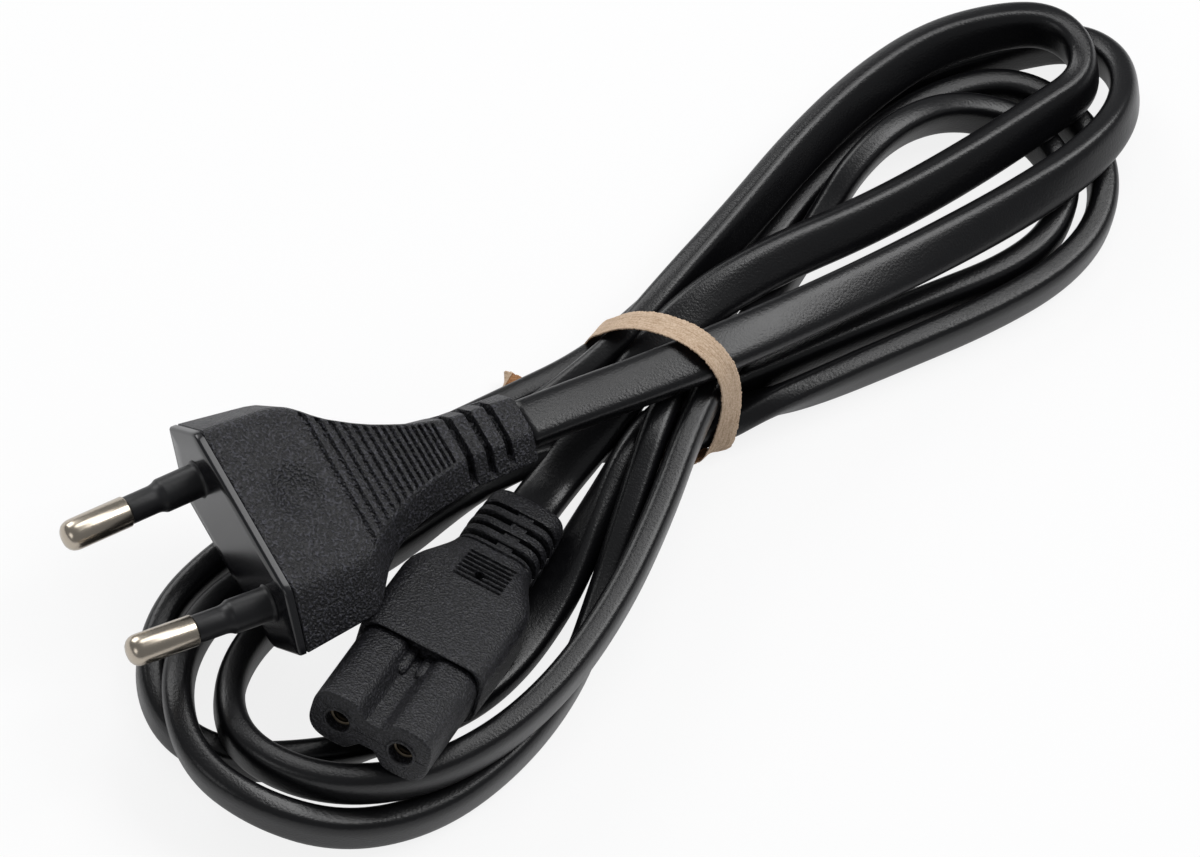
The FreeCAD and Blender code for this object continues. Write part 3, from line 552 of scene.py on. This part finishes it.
pinLeft, sleeveLeft, pinRight, sleeveRight = makePins()

connectorSize = {
    "half": [(13.0, 8.55), (20.0, 8.75), (25.4, 8.7), (26.8, 8.5), (28.4, 7.85), (30.2, 6.95), (32.0, 6.1),
             (33.4, 5.6), (34.8, 5.35), (38.0, 5.5), (41.5, 5.35), (45.0, 5.15)],
    "high": [(13.0, 4.9), (26.0, 4.9), (28.5, 4.7), (31.5, 4.3), (34.6, 3.9), (38.0, 3.75), (45.0, 3.4)],
    "corner": [(13.0, 2.6), (26.0, 2.8), (34.6, 3.2), (45.0, 2.9)],
    "panel": {"first": 26.5, "last": 31.6, "count": 7, "width": 0.5, "depth": 0.42,
              "left": -2.6, "right": 4.0},
    "vent": {"x": 0.4, "y": 28.3, "radius": 0.78, "depth": 2.2},
    "ring": {"y": 33.9, "width": 0.36, "depth": 0.35},
    "slots": {"first": 35.3, "pitch": 2.13, "count": 4, "width": 0.95, "web": 0.5, "core": 0.66},
    "link": (-0.5, 2.0),      # x from and to of the small bridge in each slot
}


def makeConnectorBody():
    # rounded rectangles along y, less the panel's grooves, the vent, the collar's groove and the slots
    size = connectorSize
    panel, vent, ringGroove, slots = size["panel"], size["vent"], size["ring"], size["slots"]
    spans = slotSpans(slots["first"], slots["pitch"], slots["count"], slots["width"])
    y = stations([(13.7, 25.8, 0.4), (25.8, 34.4, 0.07), (34.4, 44.5, 0.25)],
                 [13.0, 13.08, 13.2, 13.4, 44.4, 44.7, 44.9, 45.0] + slotRows(spans, 0.22))
    y = y[~((y > 34.5) & insideAny(y, [(a + 0.01, b - 0.01) for a, b in spans]))]
    w, h, e = (softKnots(size[k], 0.8)(y) for k in ("half", "high", "corner"))
    scale = np.interp(y, [13.0, 13.08, 13.2, 13.4, 44.3, 44.7, 44.9, 45.0],
                      [0.965, 0.98, 0.993, 1, 1, 0.985, 0.95, 0.9])
    lips = np.isin(np.round(y, 3), np.round([v for span in spans for v in span], 3))
    scale = scale * np.where(lips, 0.965, 1.0)
    corners = np.stack([np.stack(p, -1) for p in ((w, h), (-w, h), (-w, -h), (w, -h))], 1)
    corners = corners * scale[:, None, None]
    ventShare = 0.5 - vent["x"] / 11.0
    top = np.unique(np.concatenate([even(70), ventShare + np.linspace(-0.07, 0.07, 18)]))
    ring = roundedRings(corners, np.stack([e] * 4, -1), 10, (top, even(9), even(30), even(9)))
    x, z = ring[..., 0], ring[..., 1]
    along01 = (y - panel["first"]) / (panel["last"] - panel["first"]) * (panel["count"] - 1)
    offset = np.abs(along01 - np.clip(np.round(along01), 0, panel["count"] - 1))
    offset = offset * (panel["last"] - panel["first"]) / (panel["count"] - 1)
    line = smoothStep((panel["width"] / 2 + 0.06 - offset) / 0.12)
    window = smoothStep((x - panel["left"]) / 0.2) * smoothStep((panel["right"] - x) / 0.2)
    collar = smoothStep((ringGroove["width"] / 2 + 0.06 - np.abs(y - ringGroove["y"])) / 0.12)[:, None]
    hole = smoothStep((vent["radius"] - np.hypot(x - vent["x"], y[:, None] - vent["y"])) / 0.12)
    level = smoothStep((np.abs(z) - 0.75 * np.abs(z).max(1)[:, None]) / 0.5)
    sunk = panel["depth"] * line[:, None] * window + ringGroove["depth"] * collar
    sunk = np.where(z > 0, np.maximum(sunk, vent["depth"] * hole), sunk)
    ring[..., 1] -= np.sign(z) * sunk * level
    within = insideAny(y, spans)[:, None]
    link = (z > 0) & (x > size["link"][0]) & (x < size["link"][1])
    factor = np.where(within & (np.abs(z) > slots["web"]), np.where(link, 0.88, slots["core"]), 1.0)
    ring = ring * factor[..., None]
    # a dark gap runs round the nose: the front edge turns in and back before it closes
    front = np.stack([ring[0] * f for f in (0.6, 0.9, 0.925, 0.95)])
    ring = np.concatenate([front, ring, ring[-1:] * 0.55])
    y = np.concatenate([[14.0, 14.0, 13.9, 13.1], y, [45.0]])
    return closedShell("connectorBody", ring, y[:, None], connectorPose)


connectorBody = makeConnectorBody()

noseSize = {
    "outer": 8.15, "high": 4.05, "topInner": 2.6, "valley": 0.95, "floor": 2.1, "length": 13.3,
    "hole": 4.35, "holeRadius": 1.56, "rim": 1.98, "edge": 0.35,
}


def noseRings(inset):
    # figure eight: two lobes with round outer sides and flat tops, and a valley between them
    n, i = noseSize, np.asarray(inset, float)
    quarter = [(n["valley"] + 0.4 * i, n["floor"] - i), (n["topInner"] + 0.5 * i, n["high"] - i),
               (n["outer"] - i, n["high"] - i)]
    right = quarter + [(x, -z) for x, z in reversed(quarter)]
    corners = right + [(-x, z) for x, z in reversed(right)]
    corners = np.stack([np.stack(np.broadcast_arrays(x, z), -1) for x, z in corners], 1)
    ease = np.array([0.35, 0.75, 3.3, 3.3, 0.75, 0.35] * 2)
    shares = [even(5), even(6), even(3), even(6), even(5), even(5)] * 2
    return roundedRings(corners, ease, 12, shares)


def lobeFace(edge, side):
    # one half of the front face, as rays from the socket's centre out to the nose's eased edge
    n = noseSize
    half = edge[edge[:, 0] * side > -0.001]
    half = np.concatenate([half, [(0, z) for z in np.linspace(-1.2, 1.2, 7)]])
    centre = np.array([side * n["hole"], 0.0])
    angle = np.arctan2(*(half - centre).T[::-1])
    half, angle = half[np.argsort(angle)], np.sort(angle)
    way = np.stack([np.cos(angle), np.sin(angle)], -1)
    reach = np.linalg.norm(half - centre, axis=1)
    rim, hole = n["rim"], n["holeRadius"]
    # (radius, depth): the flat face, a low raised rim, and the socket's wall
    steps = [(None, 0.0), (rim + 0.08, 0.0), (rim, -0.12), (rim - 0.08, -0.2), (hole + 0.16, -0.2),
             (hole + 0.05, -0.12), (hole, 0.08), (hole, 7.0)]
    rows = []
    for radius, y in steps:
        r = reach if radius is None else np.full_like(reach, radius)
        p = centre + way * r[:, None]
        rows.append(np.stack([p[:, 0], np.full_like(reach, y), p[:, 1]], -1))
    points = np.stack(rows)
    return points.reshape(-1, 3), gridFaces(len(steps), len(reach))


def makeNose():
    # the front edge is a quarter round: inset = edge x (1 - root of (1 - (1 - y / 0.4) squared))
    n = noseSize
    y = np.concatenate([[0.0, 0.05, 0.14, 0.26, 0.4], np.arange(1.0, 13.0, 1.0), [n["length"]]])
    inset = n["edge"] * (1 - np.sqrt(np.clip(1 - (1 - np.clip(y / 0.4, 0, 1)) ** 2, 0, 1)))
    rings = noseRings(inset)
    points = np.stack([rings[..., 0], np.broadcast_to(y[:, None], rings.shape[:2]), rings[..., 1]], -1)
    parts, faces, count = [points.reshape(-1, 3)], gridFaces(*rings.shape[:2]).tolist(), rings[..., 0].size
    for side in (-1, 1):
        lobe, quads = lobeFace(rings[0], side)
        parts.append(lobe)
        faces += (quads + count).tolist()
        count += len(lobe)
    place = toFrame(np.concatenate(parts), connectorPose)
    return linkMesh("connectorNose", place, faces, sharp=50, tidy=True)


def smallBlock(name, x0, x1, y0, y1, z0, z1, pose, ease=0.18):
    # eased block: rounded rings along y, drawn in at its first end and full size at its last
    middle, half = np.array([(x0 + x1) / 2, (z0 + z1) / 2]), np.array([(x1 - x0) / 2, (z1 - z0) / 2])
    y = np.array([y0, y0 + 0.3 * ease, y0 + ease, y1 - ease, y1])
    inset = np.array([ease, 0.3 * ease, 0, 0, 0])
    signs = np.array([(1, 1), (-1, 1), (-1, -1), (1, -1)])
    corners = middle + signs[None] * (half - inset[:, None])[:, None, :]
    ring = roundedRings(corners, ease, 5, [even(3)] * 4)
    return closedShell(name, ring, y[:, None], pose)


def makeContacts():
    # rolled spring contacts inside the sockets, their bore waved along its length
    depth = np.linspace(1.3, 9.0, 60)
    bore = 1.3 + 0.09 * np.cos(2 * math.pi * depth / 0.8)
    profile = [(1.2, 1.53), (1.22, 1.42)] + list(zip(depth, bore))
    return [revolved("contact" + label, profile, (side * noseSize["hole"], 0, 0), (0, 1, 0), connectorPose)
            for label, side in (("Left", -1), ("Right", 1))]


connectorNose = makeNose()
keyBlocks = [
    smallBlock("keyLeft", -2.1, -0.45, 9.4, 14.5, 1.0, 2.95, connectorPose, 0.75),
    smallBlock("keyRight", 0.45, 1.9, 10.0, 14.5, 1.0, 2.85, connectorPose, 0.65),
    # fine parting seam across the front face
    smallBlock("seamLeft", -7.7, -6.4, -0.05, 0.1, -0.16, -0.06, connectorPose, 0.03),
    smallBlock("seamMiddle", -2.3, 2.3, -0.05, 0.1, -0.16, -0.06, connectorPose, 0.03),
    smallBlock("seamRight", 6.4, 7.7, -0.05, 0.1, -0.16, -0.06, connectorPose, 0.03),
]
contactLeft, contactRight = makeContacts()

print("stage: materials")


def linear(hexColour):
    # sRGB hex text to linear values
    parts = [int(hexColour[i:i + 2], 16) / 255 for i in (0, 2, 4)]
    return tuple(p / 12.92 if p <= 0.04045 else ((p + 0.055) / 1.055) ** 2.4 for p in parts) + (1.0,)


def addNode(tree, kind, settings=None, **links):
    # one node: settings are attributes or socket values, links are sockets of earlier nodes
    node = tree.nodes.new(kind)
    for key, value in (settings or {}).items():
        if key in node.inputs:
            node.inputs[key].default_value = value
        else:
            setattr(node, key, value)
    for key, source in links.items():
        tree.links.new(source, node.inputs[key.replace("_", " ")])
    return node


def newMaterial(name, settings):
    # a material with one shader, and the coordinates of the object for its textures
    material = bpy.data.materials.new(name)
    material.use_nodes = True
    tree = material.node_tree
    tree.nodes.clear()
    out = tree.nodes.new("ShaderNodeOutputMaterial")
    shader = addNode(tree, "ShaderNodeBsdfPrincipled", settings)
    tree.links.new(shader.outputs["BSDF"], out.inputs["Surface"])
    place = addNode(tree, "ShaderNodeTexCoord").outputs["Object"]
    return material, tree, shader, place


def grainOf(tree, place, grainSize, detail=2.0):
    # noise whose patches are grainSize millimetres across
    settings = {"Scale": 0.5 / (grainSize * mm), "Detail": detail}
    return addNode(tree, "ShaderNodeTexNoise", settings, Vector=place)


def shade(tree, source, low, lowColour, high, highColour):
    # colour that runs from one hex to another as the source's factor goes from low to high
    ramp = addNode(tree, "ShaderNodeValToRGB", {}, Fac=source.outputs["Fac"])
    for element, place, colour in zip(ramp.color_ramp.elements, (low, high), (lowColour, highColour)):
        element.position = place
        element.color = linear(colour)
    return ramp.outputs["Color"]


def mixed(tree, way, first, second, factor=None):
    # two colours blended in full, or by a factor
    node = addNode(tree, "ShaderNodeMix", {"data_type": "RGBA", "blend_type": way})
    node.inputs[0].default_value = 1.0
    tree.links.new(first, node.inputs[6])
    tree.links.new(second, node.inputs[7])
    if factor is not None:
        tree.links.new(factor, node.inputs[0])
    return node.outputs[2]


def bumped(tree, shader, height, strength, depth):
    # depth in millimetres
    bump = addNode(tree, "ShaderNodeBump", {"Strength": strength, "Distance": depth * mm}, Height=height)
    tree.links.new(bump.outputs["Normal"], shader.inputs["Normal"])


def mouldedVinyl(name, colour, roughness, grainSize, grainDepth, speckAndGlint=None):
    # soft vinyl moulded against a spark-eroded tool: a fine even grain that scatters the light, and, where
    # a second colour is given, a painted highlight on the tops of the grain
    material, tree, shader, place = newMaterial(name, {
        "Base Color": linear(colour), "Roughness": roughness, "IOR": 1.53, "Specular IOR Level": 0.36})
    grain = grainOf(tree, place, grainSize, 1.0)
    coarse = grainOf(tree, place, grainSize * 5, 1.0)
    if speckAndGlint is not None:
        # painted highlight: the tops of the grain are coloured lighter, standing in for the light they
        # catch
        tree.links.new(shade(tree, grain, 0.5, colour, 0.68, speckAndGlint), shader.inputs["Base Color"])
    tone = addNode(tree, "ShaderNodeMapRange", {"To Min": roughness - 0.06, "To Max": roughness + 0.06},
                   Value=coarse.outputs["Fac"])
    tree.links.new(tone.outputs["Result"], shader.inputs["Roughness"])
    bumped(tree, shader, grain.outputs["Fac"], 1.0, grainDepth)
    return material


def extrudedVinyl():
    # extruded cable sheath: satin, with a very fine grain and a gloss that changes slowly
    material, tree, shader, place = newMaterial("extrudedVinyl", {
        "Base Color": linear("0d0d0f"), "Roughness": 0.33, "IOR": 1.53, "Specular IOR Level": 0.35})
    wave = grainOf(tree, place, 3.0, 2.0)
    fine = grainOf(tree, place, 0.16, 2.0)
    tone = addNode(tree, "ShaderNodeMapRange", {"To Min": 0.25, "To Max": 0.35}, Value=wave.outputs["Fac"])
    tree.links.new(tone.outputs["Result"], shader.inputs["Roughness"])
    bumped(tree, shader, fine.outputs["Fac"], 0.7, 0.05)
    return material


def glossVinyl():
    # front plate moulded against a polished face
    material, tree, shader, place = newMaterial("polishedVinyl", {
        "Base Color": linear("111114"), "Roughness": 0.2, "IOR": 1.53})
    wave = grainOf(tree, place, 2.0)
    bumped(tree, shader, wave.outputs["Fac"], 0.15, 0.04)
    return material


def platedNickel():
    # nickel-plated brass, brushed along its length by use
    material, tree, shader, place = newMaterial("platedNickel", {
        "Base Color": linear("b9afa1"), "Metallic": 1.0, "Roughness": 0.32})
    wear = grainOf(tree, place, 0.5, 4.0)
    tone = addNode(tree, "ShaderNodeMapRange", {"To Min": 0.2, "To Max": 0.3}, Value=wear.outputs["Fac"])
    tree.links.new(tone.outputs["Result"], shader.inputs["Roughness"])
    return material


def kraftPaper():
    # pale kraft paper: matt, with fine fibres and a few dark specks; its inner side is coloured a darker
    # brown as painted shade
    material, tree, shader, place = newMaterial("kraftPaper", {"Roughness": 0.9, "IOR": 1.5})
    uv = addNode(tree, "ShaderNodeUVMap", {"uv_map": "surface"}).outputs["UV"]
    split = addNode(tree, "ShaderNodeSeparateXYZ", {}, Vector=uv)
    inner = addNode(tree, "ShaderNodeMath", {"operation": "GREATER_THAN"})
    tree.links.new(split.outputs["Y"], inner.inputs[0])
    inner.inputs[1].default_value = 1.0
    stretched = addNode(tree, "ShaderNodeVectorMath", {"operation": "MULTIPLY"})
    tree.links.new(uv, stretched.inputs[0])
    stretched.inputs[1].default_value = (9.0, 7.0, 1.0)
    streak = addNode(tree, "ShaderNodeTexNoise", {"Scale": 3.0, "Detail": 3.0},
                     Vector=stretched.outputs["Vector"])
    fibre = grainOf(tree, place, 0.12, 4.0)
    speckAndGlint = grainOf(tree, place, 0.3, 2.0)
    pale = shade(tree, fibre, 0.35, "b89e84", 0.65, "d2bba3")
    dark = shade(tree, speckAndGlint, 0.2, "a48a70", 0.3, "ffffff")
    # painted shade: the inner side, turned towards the hank, gets a darker, warmer brown
    shadedInnerBrown = shade(tree, fibre, 0.3, "8a5a33", 0.7, "b98b62")
    lined = shade(tree, streak, 0.3, "d8cfc4", 0.5, "ffffff")
    speckled = mixed(tree, "MULTIPLY", pale, dark)
    outer = mixed(tree, "MULTIPLY", speckled, lined)
    both = mixed(tree, "MIX", outer, shadedInnerBrown, inner.outputs["Value"])
    tree.links.new(both, shader.inputs["Base Color"])
    bumped(tree, shader, fibre.outputs["Fac"], 0.5, 0.04)
    return material


def plainMetal(name, colour, roughness):
    # dull sheet metal with faint wear
    material, tree, shader, place = newMaterial(name, {
        "Base Color": linear(colour), "Metallic": 1.0, "Roughness": roughness})
    wear = grainOf(tree, place, 0.5, 3.0)
    bumped(tree, shader, wear.outputs["Fac"], 0.2, 0.02)
    return material


# for a moulded vinyl: name, colour, roughness, grain size, grain depth and the painted highlight colour of
# its grain tops
finishes = {
    "connector_body": mouldedVinyl("leatheryVinyl", "121215", 0.46, 0.15, 0.2, "2e2e33"),
    "plug_body": mouldedVinyl("sparkedVinyl", "101013", 0.47, 0.17, 0.36, "3c3c43"),
    "plug_face": glossVinyl(),
    "sleeve": mouldedVinyl("smoothVinyl", "121214", 0.4, 0.3, 0.01),
    "nickel_pin": platedNickel(),
    # dull tinned sheet, its colour darkened as painted shade for the inside of the sockets
    "contact_metal": plainMetal("tinnedSheetPaintedShade", "6a6052", 0.4),
    "brown_core": mouldedVinyl("brownInsulation", "5a3322", 0.4, 0.3, 0.01),
    "blue_core": mouldedVinyl("blueInsulation", "2b5c9e", 0.4, 0.3, 0.01),
    "cord_sheath": extrudedVinyl(),
    "tie_paper": kraftPaper(),
}


def setMaterial(obj, slotName):
    obj.data.materials.clear()
    obj.data.materials.append(finishes[slotName])


for part in frame["record"]["subparts"]:
    setMaterial(frame["nodes"][part["node"]], part["material_slot"])

# each piece of the scene: its finish and the CAD nodes that it stands for
dressed = [
    (cordObject, "cord_sheath", ["cord"]),
    (tieObject, "tie_paper", ["paper_tie"]),
    (plugBody, "plug_body", ["plug_overmould"]),
    (plugPlate, "plug_face", ["plug_bridge"]),
    (pinLeft, "nickel_pin", ["plug_pin_left"]),
    (pinRight, "nickel_pin", ["plug_pin_right"]),
    (sleeveLeft, "sleeve", ["pin_sleeve_left"]),
    (sleeveRight, "sleeve", ["pin_sleeve_right"]),
    (connectorBody, "connector_body", ["connector_overmould"]),
    (connectorNose, "connector_body", ["connector_insert"]),
    (contactLeft, "contact_metal", ["socket_contact_left"]),
    (contactRight, "contact_metal", ["socket_contact_right"]),
] + [(block, "connector_body", []) for block in keyBlocks]
for piece, finish, nodes in dressed:
    setMaterial(piece, finish)
    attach(piece, "root")
    if nodes:
        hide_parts(*nodes)

print("stage: floor and light")
studio = {
    "floorSize": 6.0,
    "floorColour": "f4f4f5",
    "floorWhite": 0.85,
    "mirrorWhite": 0.28,
    "worldColour": "e9ebee",
    "worldStrength": 0.3,
}
# name, place, target, size, power in watts, all in metres
lamps = [
    ("keyPanel", (0.41, 0.65, 0.96), (0.0, 0.06, 0.0), 0.6, 7.5),
    ("topPanel", (-0.2, 0.68, 1.13), (0.0, 0.06, 0.0), 0.5, 2.9),
    ("leftPanel", (-0.85, 0.45, 0.55), (0.0, 0.06, 0.0), 0.6, 4.5),
    ("frontPanel", (-0.3, -0.95, 0.75), (0.0, 0.06, 0.0), 0.6, 1.6),
]


def makeFloor():
    half = studio["floorSize"] / 2 / mm
    corners = [(x * half, y * half, floorHeight) for x, y in ((-1, -1), (1, -1), (1, 1), (-1, 1))]
    floor = linkMesh("paperFloor", corners, [[0, 1, 2, 3]], smooth=False)
    material, tree, shader, place = newMaterial("paleFloor", {
        "Base Color": linear(studio["floorColour"]), "Roughness": 0.8})
    # what the camera and mirror rays see is mixed with plain white, so the paper looks evenly lit:
    # share of white = floorWhite x camera ray + mirrorWhite x glossy ray
    path = addNode(tree, "ShaderNodeLightPath")
    glossy = addNode(tree, "ShaderNodeMath", {"operation": "MULTIPLY"})
    tree.links.new(path.outputs["Is Glossy Ray"], glossy.inputs[0])
    glossy.inputs[1].default_value = studio["mirrorWhite"]
    share = addNode(tree, "ShaderNodeMath", {"operation": "MULTIPLY_ADD"})
    tree.links.new(path.outputs["Is Camera Ray"], share.inputs[0])
    share.inputs[1].default_value = studio["floorWhite"]
    tree.links.new(glossy.outputs["Value"], share.inputs[2])
    white = addNode(tree, "ShaderNodeEmission", {"Color": linear("ffffff"), "Strength": 1.0})
    blend = addNode(tree, "ShaderNodeMixShader")
    tree.links.new(share.outputs["Value"], blend.inputs[0])
    tree.links.new(shader.outputs["BSDF"], blend.inputs[1])
    tree.links.new(white.outputs["Emission"], blend.inputs[2])
    out = next(n for n in tree.nodes if n.bl_idname == "ShaderNodeOutputMaterial")
    tree.links.new(blend.outputs["Shader"], out.inputs["Surface"])
    floor.data.materials.append(material)


def makeLamps():
    # square panels, each turned so that it faces its target
    for name, place, target, size, power in lamps:
        data = bpy.data.lights.new(name, "AREA")
        data.shape = "SQUARE"
        data.size, data.energy = size, power
        obj = bpy.data.objects.new(name, data)
        obj.location = place
        obj.rotation_euler = (Vector(target) - Vector(place)).to_track_quat("-Z", "Y").to_euler()
        bpy.context.scene.collection.objects.link(obj)


def makeWorld():
    # even pale surroundings
    world = bpy.data.worlds.new("studioWorld")
    world.use_nodes = True
    back = world.node_tree.nodes["Background"]
    back.inputs["Color"].default_value = linear(studio["worldColour"])
    back.inputs["Strength"].default_value = studio["worldStrength"]
    bpy.context.scene.world = world


makeFloor()
makeLamps()
makeWorld()
bpy.context.scene.view_settings.view_transform = "Standard"
